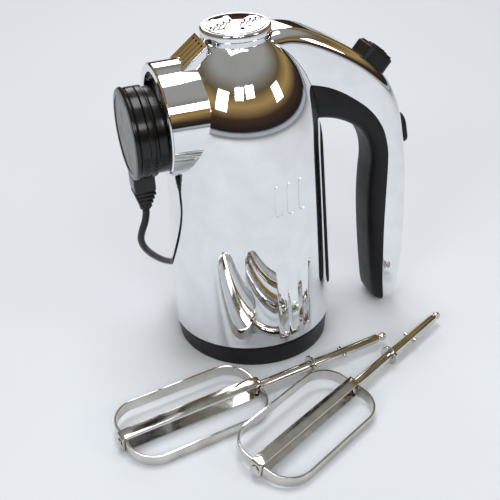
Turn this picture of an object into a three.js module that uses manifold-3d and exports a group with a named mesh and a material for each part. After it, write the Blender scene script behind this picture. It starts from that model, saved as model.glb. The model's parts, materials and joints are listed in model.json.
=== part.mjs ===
// Upright chrome hand mixer with a parked mains plug and two loose beaters.
// Millimetres, +Z up. The origin is on the floor, under the middle of the body.
// The mixer leans a little towards its nose (-X), because its rubber heel is a wedge.

import * as THREE from 'three';
import { mergeVertices } from 'three/addons/utils/BufferGeometryUtils.js';
import Module from 'manifold-3d';

const wasm = await Module();
wasm.setup();

// ---------------------------------------------------------------- driving dimensions

const GAP = 0.3; // between pieces that touch
const RUN = 0.6; // between pieces that move past each other
const LEAN = THREE.MathUtils.degToRad(2.1);

const BODY = { footR: 50, shoulderR: 46.3, footZ: 15.5, shoulderZ: 136, rise: 66, wall: 2.5, sides: 44 };
const COLLAR = { r: 32.7, z: 155.3, rim: -49.5, root: -14, wall: 2.5 };
const SPINE = {
  halfWidth: 12, from: -37.5, low: 185.4, high: 198.2, slots: 4, slotWidth: 2.2, slotDepth: 1.8, pitch: 5,
};
const CAP = { x: 0, r: 20.3, bottom: 192, top: 203.6, hole: 14, slotWidth: 2.4, pitch: 4.6 };
const HANDLE = { width: 30, bevel: 8, wall: 3 };
const STRIP = { halfWidth: 18, thick: 1.2, bottom: 20, top: 139.5 };
const HEEL = { footInset: 2, topInset: 0.4, wall: 13, floor: 5 }; // insets from the body's foot radius
const BASE = { clear: 1.5, bottom: 16.5, thick: 2.5, screwInset: 9, screws: 3 };
const REEL = { bottom: 21, height: 19, flangeR: 34, flange: 1.5, hubR: 14, axleR: 4 };
const MOTOR = {
  shaftR: 3, coreR: 16.4, bore: 17, statorR: 33, bottom: 60, stack: 32, plateZ: 47, plateR: 43,
  commutatorFrom: 5, commutatorTo: 14, bearingR: 7.5, bearingFit: 0.2,
  ventLength: 18, ventWidth: 8, ventAt: 26, vents: 6,
};
const FAN = { clear: 6, r: 28, hubR: 8, height: 8, blades: 9 };
const DRIVE = {
  z: 156, offset: 14.5, wormR: 4.3, gearR: 9.8, teeth: 16, gearWidth: 9, tubeR: 5.2, boreR: 3.4,
};
const CASE = { halfX: 15, halfY: 27, bottom: 131, top: 168.9, wall: 2.5 };
const NOSE = { boreR: 27.4, plate: -46, plateThick: 2.5 };
const PLUG = { face: -69.5, split: -61, neck: -56, back: -50.9, r: 27, neckR: 25, z: 150.3 };
const PIN = { offset: 11.1, earthLength: 22.7, lineLength: 17.7 };
const EJECT = {
  x: 82, z: 167.7, tilt: 41, length: 19, width: 20, proud: 8, sunk: 8, stroke: 5, rodY: 5.5, rodZ: 171.5,
};
const SPEED = { x: 102.6, z: 119, tilt: 9, length: 20, width: 12, proud: 4, stroke: 13 };
const CORD = { r: 2.2 };
const OUTLET = { x: 20, z: 27, r: 4.6, depth: 11.5, seat: 1.1, proud: 1, lipR: 6.6 };
const BEATER = {
  length: 183, shaftR: 2.9, tipR: 2.6, earAt: 31, earSpan: 9.6, washerAt: 54, washerR: 6,
  headAt: 92, wide: 47, narrow: 11.6, strip: 7, metal: 1.2, overRoll: 9.6,
};

// ---------------------------------------------------------------- materials

const finish = (color, metalness, roughness) =>
  new THREE.MeshStandardMaterial({ color, metalness, roughness });

const MATERIAL = {
  chrome: () => finish(0xd8dbe0, 1, 0.05),
  rubber: () => finish(0x1b1c1e, 0, 0.6),
  plastic: () => finish(0x17181a, 0, 0.35),
  nylon: () => finish(0xe6e2d6, 0, 0.5),
  steel: () => finish(0xb9b6ae, 1, 0.25),
  brass: () => finish(0xc9a24b, 1, 0.3),
  copper: () => finish(0xb0602f, 1, 0.35),
  iron: () => finish(0x55565a, 0.8, 0.55),
  carbon: () => finish(0x2b2b2d, 0.2, 0.7),
};

// ---------------------------------------------------------------- solids

/** Turns a closed three.js geometry into a manifold with its faces pointing out. */
function solid(geometry) {
  const plain = geometry.clone();
  plain.deleteAttribute('normal');
  plain.deleteAttribute('uv');
  const merged = mergeVertices(plain, 1e-4);
  const place = merged.attributes.position.array;
  const index = merged.index.array;
  const corner = [new THREE.Vector3(), new THREE.Vector3(), new THREE.Vector3()];
  const faces = [];
  let volume = 0;
  for (let i = 0; i < index.length; i += 3) {
    const [a, b, c] = [index[i], index[i + 1], index[i + 2]];
    if (a === b || b === c || c === a) continue;
    [a, b, c].forEach((vertex, k) => corner[k].fromArray(place, 3 * vertex));
    volume += corner[0].dot(corner[1].clone().cross(corner[2]));
    faces.push([a, b, c]);
  }
  const wound = volume < 0 ? faces.map(([a, b, c]) => [a, c, b]) : faces;
  const mesh = new wasm.Mesh({
    numProp: 3,
    vertProperties: Float32Array.from(place),
    triVerts: Uint32Array.from(wound.flat()),
  });
  return new wasm.Manifold(mesh);
}

/** Axes that a shape drawn in its own x and y is carried to, with the extrusion along the third. */
const ALONG = {
  x: new THREE.Matrix4().makeBasis(
    new THREE.Vector3(0, 1, 0), new THREE.Vector3(0, 0, 1), new THREE.Vector3(1, 0, 0)),
  y: new THREE.Matrix4().makeBasis(
    new THREE.Vector3(1, 0, 0), new THREE.Vector3(0, 0, 1), new THREE.Vector3(0, -1, 0)),
  z: new THREE.Matrix4(),
};

/** A solid of revolution about X or Z through the origin; the profile is a list of [radius, height]. */
function turned(profile, axis = 'z', sides = 16) {
  const geometry = new THREE.LatheGeometry(profile.map(([r, h]) => new THREE.Vector2(r, h)), sides);
  if (axis === 'z') geometry.rotateX(Math.PI / 2);
  else geometry.rotateZ(-Math.PI / 2);
  return solid(geometry);
}

/** A plain cylinder from one height to another along X, Y or Z. */
function rod(r, from, to, axis = 'z', sides = 16) {
  const geometry = new THREE.CylinderGeometry(r, r, to - from, sides);
  geometry.translate(0, (from + to) / 2, 0);
  if (axis === 'z') geometry.rotateX(Math.PI / 2);
  if (axis === 'x') geometry.rotateZ(-Math.PI / 2);
  return solid(geometry);
}

/** A ring between two radii. */
function ring(inner, outer, from, to, axis = 'z', sides = 16) {
  return rod(outer, from, to, axis, sides).subtract(rod(inner, from - 1, to + 1, axis, sides));
}

/** A box given by its low and high corners. */
function block(low, high) {
  const geometry = new THREE.BoxGeometry(high[0] - low[0], high[1] - low[1], high[2] - low[2]);
  geometry.translate((low[0] + high[0]) / 2, (low[1] + high[1]) / 2, (low[2] + high[2]) / 2);
  return solid(geometry);
}

/** A 2-D outline carried along an axis, centred on the origin, with rounded edges if bevel is given. */
function prism(points, width, axis, { bevel = 0, inset = 0, steps = 2 } = {}) {
  const shape = new THREE.Shape(points.map(([x, y]) => new THREE.Vector2(x, y)));
  const geometry = new THREE.ExtrudeGeometry(shape, {
    depth: width - 2 * bevel,
    bevelEnabled: bevel > 0,
    bevelThickness: bevel,
    bevelSize: bevel,
    bevelOffset: -bevel - inset,
    bevelSegments: steps,
    curveSegments: 8,
  });
  geometry.translate(0, 0, -(width - 2 * bevel) / 2);
  geometry.applyMatrix4(ALONG[axis]);
  return solid(geometry);
}

/** Corner points of a rounded slot (a stadium), long side along its own x. */
function stadium(length, width, steps = 6) {
  const points = [];
  const reach = (length - width) / 2;
  for (const side of [1, -1]) {
    for (let i = 0; i <= steps; i += 1) {
      const angle = Math.PI * (i / steps - 0.5) + (side < 0 ? Math.PI : 0);
      points.push([side * reach + (width / 2) * Math.cos(angle), (width / 2) * Math.sin(angle)]);
    }
  }
  return points;
}

/** A smooth open curve through points, as a list of [x, y]. */
function spline(points, count) {
  const curve = new THREE.SplineCurve(points.map(([x, y]) => new THREE.Vector2(x, y)));
  return curve.getPoints(count).map((p) => [p.x, p.y]);
}

/** The same list of points, each moved sideways, to the left of the direction of travel. */
function beside(points, distance) {
  return points.map(([x, y], i) => {
    const [ax, ay] = points[Math.max(i - 1, 0)];
    const [bx, by] = points[Math.min(i + 1, points.length - 1)];
    const length = Math.hypot(bx - ax, by - ay);
    return [x - (distance * (by - ay)) / length, y + (distance * (bx - ax)) / length];
  });
}

/** A round bar along a smooth path of [x, y, z] points. */
function bar(points, r, { steps = 40, sides = 8 } = {}) {
  const path = new THREE.CatmullRomCurve3(points.map((p) => new THREE.Vector3(...p)), false, 'centripetal');
  const section = new THREE.Shape();
  section.absarc(0, 0, r, 0, 2 * Math.PI, false);
  const outline = new THREE.Shape(section.getSpacedPoints(sides).slice(0, sides));
  return solid(new THREE.ExtrudeGeometry(outline, { steps, extrudePath: path, bevelEnabled: false }));
}

/** Joins a list of solids. */
const join = (parts) => parts.reduce((whole, part) => whole.add(part));

// ---------------------------------------------------------------- scene graph

const object = new THREE.Group();
const mixer = new THREE.Group();
mixer.rotation.y = -LEAN;
object.add(mixer);

/** Adds a finished solid to a group as a named mesh. */
function add(group, name, material, part) {
  const { vertProperties, triVerts } = part.getMesh();
  const geometry = new THREE.BufferGeometry();
  geometry.setAttribute('position', new THREE.BufferAttribute(vertProperties, 3));
  geometry.setIndex(new THREE.BufferAttribute(triVerts, 1));
  geometry.computeVertexNormals();
  const mesh = new THREE.Mesh(geometry, material);
  mesh.name = name;
  group.add(mesh);
}

// ---------------------------------------------------------------- body envelope

/** Half outline of the body, moved inwards by inset, from below the foot to the crown. */
function bodyProfile(inset, foot = BODY.footZ) {
  const points = [[0, foot], [BODY.footR - inset, foot], [BODY.footR - inset, BODY.footZ]];
  if (foot === BODY.footZ) points.pop();
  const steps = 9;
  for (let i = 0; i <= steps; i += 1) {
    const angle = (Math.PI / 2) * (i / steps);
    const r = (BODY.shoulderR - inset) * Math.cos(angle);
    points.push([i === steps ? 0 : r, BODY.shoulderZ + (BODY.rise - inset) * Math.sin(angle)]);
  }
  return points;
}

const collarAt = (r, from, to) => rod(r, from, to, 'x', 36).translate([0, 0, COLLAR.z]);
const bodyEnvelope = (grow) => turned(bodyProfile(-grow), 'z', BODY.sides)
  .add(collarAt(COLLAR.r + grow, COLLAR.rim, COLLAR.root));
const bodyHollow = () => turned(bodyProfile(BODY.wall, BODY.footZ - 5), 'z', BODY.sides)
  .add(collarAt(COLLAR.r - COLLAR.wall, COLLAR.rim - 5, COLLAR.root));
const clearOfBody = bodyEnvelope(GAP);

// ---------------------------------------------------------------- handle outlines, seen from the side

const OUTER = spline([
  [14, 198.4], [25.4, 199.4], [37.2, 196.8], [46.8, 192.5], [56.6, 187.1], [66.7, 180.6], [75.8, 173.6],
  [84.2, 165.6], [90.4, 157.8], [94.8, 149.8], [98, 141.4], [100.6, 131], [102.8, 117], [104.3, 103],
  [105.1, 88], [105.3, 66], [104.8, 44], [103.2, 22], [101.6, 8],
], 28);
const TIP = spline([[101.6, 8], [99.8, 2], [96.2, -1.4], [91.6, -2.4], [87, -1], [83.8, 3], [82.4, 10]], 7);
const INNER = spline([
  [82.4, 10], [80.8, 30], [79.4, 55], [79, 75], [79.8, 92], [80.8, 104], [79.6, 115], [75.4, 124.6],
  [69, 131.4], [60.5, 136.6], [51.9, 139.8], [42, 141.6],
], 16);
const SEAM = spline([
  [24, 168.6], [44, 163.5], [55.6, 158.4], [65.9, 151.4], [75.2, 143.4], [81.9, 134.9], [86.4, 125.6],
  [88.9, 114.3], [89.3, 104], [88.7, 86.6], [87.8, 61], [87.6, 40], [87.6, 20], [88.6, 4], [90.6, -9],
], 20);

/** The side of the seam that the fingers touch, as a closed outline. */
const gripSide = (shift) => [...beside(SEAM, shift), [60, -20], [10, -20], [10, 168.6 + shift]];

const handleOutline = [[2, 158], [2, 190], ...OUTER, ...TIP.slice(1), ...INNER.slice(1), [20, 143.5]];
const handleSolid = prism(handleOutline, HANDLE.width, 'y', { bevel: HANDLE.bevel }).subtract(clearOfBody);
const handleHollow = prism(handleOutline, HANDLE.width - 2 * HANDLE.wall, 'y', {
  bevel: HANDLE.bevel - HANDLE.wall, inset: HANDLE.wall, steps: 2,
});

/** Carries a part drawn on the X-Y plane, its top along +Z, onto the handle at a place and tilt. */
const onHandle = (part, place, tilt) => part.rotate([0, tilt, 0]).translate([place.x, 0, place.z]);
const ejectPlace = (part) => onHandle(part, EJECT, EJECT.tilt);
const speedPlace = (part) => onHandle(part, SPEED, 90 - SPEED.tilt);

// ---------------------------------------------------------------- housing

function housing() {
  const shell = bodyEnvelope(0).subtract(bodyHollow());
  const crown = rod(CAP.hole, 170, 220, 'z', 24).translate([CAP.x, 0, 0]);
  const rodHole = rod(2 + RUN, 20, 45, 'x').translate([0, EJECT.rodY, EJECT.rodZ]);
  const cordHole = rod(OUTLET.r + GAP, 0, 80, 'z', 16)
    .rotate([-90, 0, 0])
    .translate([OUTLET.x, 0, OUTLET.z]);
  const whole = shell.subtract(crown).subtract(rodHole).subtract(cordHole);
  const half = (low, high) => block([-90, low, -5], [90, high, 220]);
  add(mixer, 'housing_near', MATERIAL.chrome(), whole.intersect(half(-90, -GAP / 2)));
  add(mixer, 'housing_far', MATERIAL.chrome(), whole.intersect(half(GAP / 2, 90)));
}

/** The raised strip that climbs from the collar to the cap, with long slots. */
function spine() {
  const to = CAP.x - CAP.r - GAP;
  const root = COLLAR.z + 10;
  const outline = [[SPINE.from, root], [to, root], [to, SPINE.high], [SPINE.from, SPINE.low]];
  let strip = prism(outline, 2 * SPINE.halfWidth, 'y').subtract(clearOfBody);
  const climb = (x) => SPINE.low + ((x - SPINE.from) * (SPINE.high - SPINE.low)) / (to - SPINE.from);
  const [start, end] = [SPINE.from + 3.5, to - 1.5];
  const slotOutline = [
    [start, climb(start) - SPINE.slotDepth], [end, climb(end) - SPINE.slotDepth], [end, SPINE.high + 20],
    [start, SPINE.high + 20],
  ];
  for (let i = 0; i < SPINE.slots; i += 1) {
    const y = (i - (SPINE.slots - 1) / 2) * SPINE.pitch;
    strip = strip.subtract(prism(slotOutline, SPINE.slotWidth, 'y').translate([0, y, 0]));
  }
  add(mixer, 'spine_cover', MATERIAL.chrome(), strip);
}

/** The round crown cap with two groups of slanted slots. */
function ventCap() {
  const disc = turned([
    [0, CAP.bottom], [CAP.r - 1, CAP.bottom], [CAP.r - 1, CAP.top - 4], [CAP.r, CAP.top - 4],
    [CAP.r, CAP.top - 1], [CAP.r - 1, CAP.top], [0, CAP.top],
  ], 'z', 28).translate([CAP.x, 0, 0]);
  const hollow = rod(CAP.hole - 1, 170, CAP.top - 2.5).translate([CAP.x, 0, 0]);
  let cap = disc.subtract(clearOfBody).subtract(hollow);
  for (const side of [-1, 1]) {
    for (let i = 0; i < 4; i += 1) {
      const slot = prism(stadium(10, CAP.slotWidth, 2), 8, 'z')
        .translate([side * 11, (i - 1.5) * CAP.pitch, 0])
        .rotate([0, 0, 25])
        .translate([CAP.x, 0, CAP.top]);
      cap = cap.subtract(slot);
    }
  }
  add(mixer, 'vent_cap', MATERIAL.chrome(), cap);
}

/** The black strip between the foot and the grip, on the finger side of the body. */
function backStrip() {
  const height = STRIP.top - STRIP.bottom;
  const middle = (STRIP.top + STRIP.bottom) / 2;
  const outline = stadium(height, 2 * STRIP.halfWidth, 8).map(([x, y]) => [y, x + middle]);
  const column = prism(outline, 60, 'x').translate([30 + 20, 0, 0]);
  const skin = bodyEnvelope(GAP + STRIP.thick).subtract(clearOfBody);
  add(mixer, 'back_strip', MATERIAL.rubber(), skin.intersect(column));
}

/** The rubber wedge under the body, cut flat where it meets the floor. */
function heel() {
  const top = BODY.footZ - GAP;
  const footR = BODY.footR - HEEL.footInset;
  const boreR = BODY.footR - HEEL.wall;
  const wedge = turned([
    [0, -6], [footR, -6], [footR, 4], [BODY.footR - HEEL.topInset, top],
    [boreR, top], [boreR, HEEL.floor],
    [0, HEEL.floor],
  ], 'z', BODY.sides);
  const floor = block([-90, -90, -60], [90, 90, 0]).rotate([0, THREE.MathUtils.radToDeg(LEAN), 0]);
  let part = wedge.subtract(floor);
  for (const [x, y] of screwPlaces()) part = part.subtract(rod(3.6, -10, 20, 'z', 16).translate([x, y, 0]));
  add(mixer, 'heel_ring', MATERIAL.rubber(), part);
}

const screwPlaces = () => Array.from({ length: BASE.screws }, (_, i) => {
  const angle = (2 * Math.PI * i) / BASE.screws + Math.PI / 3;
  const ringR = BODY.footR - BASE.screwInset;
  return [ringR * Math.cos(angle), ringR * Math.sin(angle)];
});

/** The plate that closes the foot and its screws, whose heads sit in the heel. */
function basePlate() {
  let plate = rod(BODY.footR - BODY.wall - BASE.clear, BASE.bottom, BASE.bottom + BASE.thick, 'z', 28);
  plate = plate.subtract(rod(1.5, 0, 40));
  screwPlaces().forEach(([x, y], i) => {
    plate = plate.subtract(rod(1.6 + GAP, 0, 40, 'z', 16).translate([x, y, 0]));
    const screw = rod(1.6, 10, BASE.bottom + 9, 'z', 12).add(rod(3.2, 8, 10.4, 'z', 12));
    add(mixer, `base_screw_${i + 1}`, MATERIAL.steel(), screw.translate([x, y, 0]));
  });
  add(mixer, 'base_plate', MATERIAL.plastic(), plate);
}

// ---------------------------------------------------------------- handle

function handle() {
  const well = ejectPlace(block(
    [-EJECT.length / 2 - RUN, -EJECT.width / 2 - RUN, -30],
    [EJECT.length / 2 + RUN, EJECT.width / 2 + RUN, 30]));
  const slot = speedPlace(prism(stadium(SPEED.stroke + 6 + 2 * RUN, 4 + 2 * RUN, 4), 20, 'z')
    .translate([-SPEED.stroke / 2, 0, 0]));
  const shell = handleSolid.subtract(handleHollow)
    .subtract(prism(gripSide(GAP), 60, 'y'))
    .subtract(well)
    .subtract(slot)
    .subtract(rod(CAP.r + GAP, 170, 230, 'z', 40).translate([CAP.x, 0, 0]));
  add(mixer, 'handle_shell', MATERIAL.chrome(), largest(shell));
  const grip = handleSolid.subtract(handleHollow).intersect(prism(gripSide(0), 60, 'y'));
  add(mixer, 'handle_grip', MATERIAL.rubber(), largest(grip));
}

/** The biggest body of a solid that a cut may have left in several. */
const largest = (part) => part.decompose().reduce((a, b) => (a.volume() > b.volume() ? a : b));

/** The stepped release button, its skirt inside the handle. */
function ejectButton() {
  const half = EJECT.length / 2;
  const side = EJECT.width / 2;
  const outline = stadium(EJECT.length, EJECT.width, 6).map(([x, y]) => [
    THREE.MathUtils.clamp(x * 1.25, -half, half), THREE.MathUtils.clamp(y * 1.25, -side, side),
  ]);
  const body = prism(outline, EJECT.proud + EJECT.sunk, 'z', { bevel: 1.2, steps: 2 })
    .translate([0, 0, (EJECT.proud - EJECT.sunk) / 2]);
  const pad = prism(stadium(15, 11, 5), 2, 'z').translate([1, 0, EJECT.proud + 0.5]);
  add(mixer, 'eject_button', MATERIAL.rubber(), ejectPlace(body.add(pad)));
}

/** The oval thumb slider with its neck and carriage. */
function speedSlider() {
  const knob = prism(stadium(SPEED.length, SPEED.width, 6), SPEED.proud, 'z', { bevel: 1, steps: 2 })
    .translate([0, 0, SPEED.proud / 2 + 0.9]);
  const neck = prism(stadium(6, 4, 3), 10, 'z').translate([0, 0, -3]);
  const carriage = block([-4, -4.5, -11], [4, 4.5, -7.5]);
  add(mixer, 'speed_slider', MATERIAL.rubber(), speedPlace(join([knob, neck, carriage])));
}

function switchBody() {
  const body = block([-8, -7, -17.6], [8, 7, -11.6]);
  add(mixer, 'switch_body', MATERIAL.plastic(), speedPlace(body.translate([-SPEED.stroke / 2, 0, 0])));
}

// ---------------------------------------------------------------- nose

const spindlePlaces = [-DRIVE.offset, DRIVE.offset];
const pinPlaces = [
  { name: 'plug_pin_earth', y: 0, z: PIN.offset, wide: 4, high: 8, length: PIN.earthLength },
  { name: 'plug_pin_line', y: -PIN.offset, z: -PIN.offset, wide: 6.3, high: 4, length: PIN.lineLength },
  { name: 'plug_pin_neutral', y: PIN.offset, z: -PIN.offset, wide: 6.3, high: 4, length: PIN.lineLength },
];

/** The box that one plug pin fills, grown by a clearance. */
function pinBlock(pin, grow, from = PLUG.back) {
  const [y, z] = [pin.y, PLUG.z + pin.z];
  return block(
    [from, y - pin.wide / 2 - grow, z - pin.high / 2 - grow],
    [PLUG.back + pin.length + grow, y + pin.wide / 2 + grow, z + pin.high / 2 + grow]);
}

function nose() {
  const lipR = COLLAR.r - COLLAR.wall - GAP;
  const bezel = turned([
    [NOSE.boreR, COLLAR.rim - 1], [COLLAR.r - 1, COLLAR.rim - 1], [COLLAR.r, COLLAR.rim - GAP],
    [lipR, COLLAR.rim - GAP], [lipR, COLLAR.rim + 6],
    [NOSE.boreR, COLLAR.rim + 6], [NOSE.boreR, COLLAR.rim - 1],
  ], 'x', 36).translate([0, 0, COLLAR.z]);
  add(mixer, 'nose_bezel', MATERIAL.chrome(), bezel);

  let plate = rod(NOSE.boreR - GAP, NOSE.plate, NOSE.plate + NOSE.plateThick, 'x', 28)
    .translate([0, 0, COLLAR.z]);
  for (const y of spindlePlaces) {
    plate = plate.subtract(rod(DRIVE.tubeR + RUN, -60, 0, 'x').translate([0, y, DRIVE.z]));
  }
  for (const pin of pinPlaces) plate = plate.subtract(pinBlock(pin, GAP));
  add(mixer, 'nose_plate', MATERIAL.plastic(), plate);
}

// ---------------------------------------------------------------- mains plug and cord

function plug() {
  const axis = (part) => part.translate([0, 0, PLUG.z]);
  const cover = turned([
    [0, PLUG.face], [PLUG.r - 2.5, PLUG.face], [PLUG.r - 0.4, PLUG.face + 0.9], [PLUG.r, PLUG.face + 2.2],
    [PLUG.r - 1.2, PLUG.face + 3.2], [PLUG.r - 0.7, PLUG.face + 4], [PLUG.r - 0.7, PLUG.split - GAP / 2],
    [0, PLUG.split - GAP / 2],
  ], 'x', 36);
  add(mixer, 'plug_cover', MATERIAL.plastic(), axis(cover));
  const base = turned([
    [0, PLUG.split + GAP / 2], [PLUG.r - 0.7, PLUG.split + GAP / 2], [PLUG.r - 0.7, PLUG.neck],
    [PLUG.neckR, PLUG.neck + 0.8], [PLUG.neckR, PLUG.back], [0, PLUG.back],
  ], 'x', 36);
  add(mixer, 'plug_base', MATERIAL.plastic(), axis(base));
  for (const pin of pinPlaces) add(mixer, pin.name, MATERIAL.brass(), pinBlock(pin, 0, PLUG.back + GAP));
}

/** The cable boss under the plug and the four ribs that taper down to the cord. */
function strainRelief() {
  const middle = (PLUG.face + PLUG.neck) / 2;
  const boss = prism([[-6.4, -14], [6.4, -14], [6.4, 8], [-6.4, 8]], 14, 'y', { bevel: 1, steps: 1 });
  const pieces = [boss];
  for (let i = 0; i < 4; i += 1) {
    const half = 6.2 - 0.9 * i;
    const z = -15.5 - 2.9 * i;
    pieces.push(block([-half, -half, z - 1], [half, half, z + 1]));
  }
  pieces.push(turned([[0, -26.5], [3.6, -26.5], [5, -13], [0, -13]], 'z', 12));
  const whole = join(pieces).translate([middle, 0, PLUG.z - PLUG.r + 5]);
  const clear = rod(PLUG.r + GAP, -90, 0, 'x', 36).translate([0, 0, PLUG.z]);
  add(mixer, 'strain_relief', MATERIAL.plastic(), whole.subtract(clear));
}

/** Route of the free cord, from the strain relief round the far side of the foot to the outlet. */
const CORD_ROUTE = [
  [-62.7, 0, 100.8], [-62.9, 0.1, 97.2], [-64.2, 0.5, 91.6], [-66.2, 1.9, 85.4], [-67, 4.4, 78.6],
  [-65.2, 8.2, 70.8], [-60.8, 14, 61.8], [-54.6, 21.8, 52], [-47.8, 30.8, 42.6], [-40.8, 40.2, 34.6],
  [-33, 49.6, 29], [-24, 58.2, 26.4], [-13.4, 65.2, 26], [-2, 69.2, 26.4], [8, 68, 26.8], [15.4, 63, 27],
  [19.4, 57.2, 27], [20, 51.6, 27],
];

function cord() {
  add(mixer, 'mains_cord', MATERIAL.plastic(), bar(CORD_ROUTE, CORD.r, { steps: 44, sides: 8 }));
  const lip = BODY.footR + OUTLET.proud;
  const seat = BODY.footR - OUTLET.seat;
  const from = BODY.footR - OUTLET.depth;
  const bush = turned([
    [CORD.r + GAP, from], [OUTLET.r, from],
    [OUTLET.r, seat], [OUTLET.lipR, seat],
    [OUTLET.lipR - 1, lip], [CORD.r + GAP, lip], [CORD.r + GAP, from],
  ], 'z', 16).rotate([-90, 0, 0]).translate([OUTLET.x, 0, OUTLET.z]);
  add(mixer, 'cord_outlet', MATERIAL.rubber(), bush);
}

// ---------------------------------------------------------------- cord reel

function reel() {
  const top = REEL.bottom + REEL.height;
  const axle = rod(REEL.axleR, BASE.bottom + BASE.thick + GAP, top + 4, 'z', 20);
  add(mixer, 'reel_axle', MATERIAL.steel(), axle);
  const drum = turned([
    [REEL.axleR + GAP, REEL.bottom], [REEL.flangeR, REEL.bottom], [REEL.flangeR, REEL.bottom + REEL.flange],
    [REEL.hubR, REEL.bottom + REEL.flange], [REEL.hubR, top - REEL.flange],
    [REEL.flangeR, top - REEL.flange],
    [REEL.flangeR, top], [REEL.axleR + GAP, top], [REEL.axleR + GAP, REEL.bottom],
  ], 'z', 28);
  add(mixer, 'reel_drum', MATERIAL.nylon(), drum);
  const wound = ring(REEL.hubR + GAP, REEL.flangeR - 2, REEL.bottom + REEL.flange + GAP,
    top - REEL.flange - GAP, 'z', 28);
  add(mixer, 'reel_cord', MATERIAL.plastic(), wound);
  add(mixer, 'reel_spring', MATERIAL.steel(), ring(REEL.axleR + GAP, REEL.hubR - 1, top + GAP, top + 3.6));
}

// ---------------------------------------------------------------- motor

function motor() {
  const top = MOTOR.bottom + MOTOR.stack;
  let plate = rod(MOTOR.plateR, MOTOR.plateZ, MOTOR.plateZ + 3, 'z', 28)
    .subtract(rod(MOTOR.bearingR + GAP, 0, 90));
  for (let i = 0; i < MOTOR.vents; i += 1) {
    const vent = prism(stadium(MOTOR.ventLength, MOTOR.ventWidth, 2), 20, 'z')
      .translate([MOTOR.ventAt, 0, MOTOR.plateZ]);
    plate = plate.subtract(vent.rotate([0, 0, (360 / MOTOR.vents) * i]));
  }
  add(mixer, 'motor_plate', MATERIAL.plastic(), plate);

  const pole = 9;
  const window = block([pole, 12, 0], [pole + 11, 24, 200]);
  const windows = window.add(window.mirror([1, 0, 0]));
  const stator = ring(MOTOR.bore, MOTOR.statorR, MOTOR.bottom, top, 'z', 28)
    .subtract(windows)
    .subtract(windows.mirror([0, 1, 0]));
  add(mixer, 'stator_core', MATERIAL.iron(), stator);

  for (const [side, name] of [[-1, 'field_coil_near'], [1, 'field_coil_far']]) {
    const coil = block([-pole - 10, 17.5, MOTOR.bottom - 6], [pole + 10, 23.5, top + 6])
      .subtract(block([-pole - 1, 10, MOTOR.bottom - 1], [pole + 1, 40, top + 1]));
    add(mixer, name, MATERIAL.copper(), side > 0 ? coil : coil.mirror([0, 1, 0]));
  }

  const worm = [];
  const turns = 5;
  for (let i = 0; i < turns; i += 1) {
    const z = DRIVE.z - 8.2 + (i * 16.4) / (turns - 1);
    worm.push(turned([[0, z - 1.6], [MOTOR.shaftR, z - 1.6], [DRIVE.wormR, z - 0.5], [DRIVE.wormR, z + 0.5],
      [MOTOR.shaftR, z + 1.6], [0, z + 1.6]], 'z', 10));
  }
  const shaft = rod(MOTOR.shaftR, MOTOR.plateZ - 1, DRIVE.z + 10, 'z', 10);
  add(mixer, 'armature_shaft', MATERIAL.steel(), shaft.add(join(worm)));

  let core = ring(MOTOR.shaftR + GAP, MOTOR.coreR, MOTOR.bottom, top, 'z', 20);
  for (let i = 0; i < 8; i += 1) {
    core = core.subtract(block([12, -0.9, 0], [20, 0.9, 200]).rotate([0, 0, 45 * i]));
  }
  add(mixer, 'armature_core', MATERIAL.iron(), core);
  add(mixer, 'commutator', MATERIAL.copper(), ring(MOTOR.shaftR + GAP, 8.5, top + MOTOR.commutatorFrom,
    top + MOTOR.commutatorTo));

  for (const [side, name] of [[-1, 'brush_near'], [1, 'brush_far']]) {
    const brush = block([-3, 8.9, top + 6.5], [3, 30, top + 12.5]);
    add(mixer, name, MATERIAL.carbon(), side > 0 ? brush : brush.mirror([0, 1, 0]));
  }

  const fanZ = top + MOTOR.commutatorTo + FAN.clear;
  const disc = ring(FAN.hubR - 2, FAN.r, fanZ, fanZ + 1.4);
  const blades = [ring(MOTOR.shaftR + GAP, FAN.hubR, fanZ, fanZ + FAN.height), disc];
  for (let i = 0; i < FAN.blades; i += 1) {
    const blade = block([FAN.hubR - 1, -0.8, fanZ], [FAN.r, 0.8, fanZ + FAN.height]);
    blades.push(blade.rotate([0, 0, (360 * i) / FAN.blades]));
  }
  add(mixer, 'cooling_fan', MATERIAL.nylon(), join(blades));

  const lower = ring(MOTOR.shaftR + MOTOR.bearingFit, MOTOR.bearingR, MOTOR.plateZ - 0.5, MOTOR.plateZ + 6);
  const upper = ring(MOTOR.shaftR + MOTOR.bearingFit, MOTOR.bearingR, CASE.bottom - 2, CASE.bottom + 4);
  add(mixer, 'bearing_lower', MATERIAL.brass(), lower);
  add(mixer, 'bearing_upper', MATERIAL.brass(), upper);
}

// ---------------------------------------------------------------- gears and spindles

function gearCase() {
  const outer = block([-CASE.halfX, -CASE.halfY, CASE.bottom], [CASE.halfX, CASE.halfY, CASE.top]);
  const inner = block(
    [-CASE.halfX + CASE.wall, -CASE.halfY + CASE.wall, CASE.bottom + CASE.wall],
    [CASE.halfX + 5, CASE.halfY - CASE.wall, CASE.top - CASE.wall]);
  let shell = outer.subtract(inner).subtract(rod(7.5 + GAP, 0, 140));
  for (const y of spindlePlaces) {
    shell = shell.subtract(rod(DRIVE.tubeR + RUN, -60, 0, 'x').translate([0, y, DRIVE.z]));
  }
  add(mixer, 'gear_case', MATERIAL.plastic(), shell);
}

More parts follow.
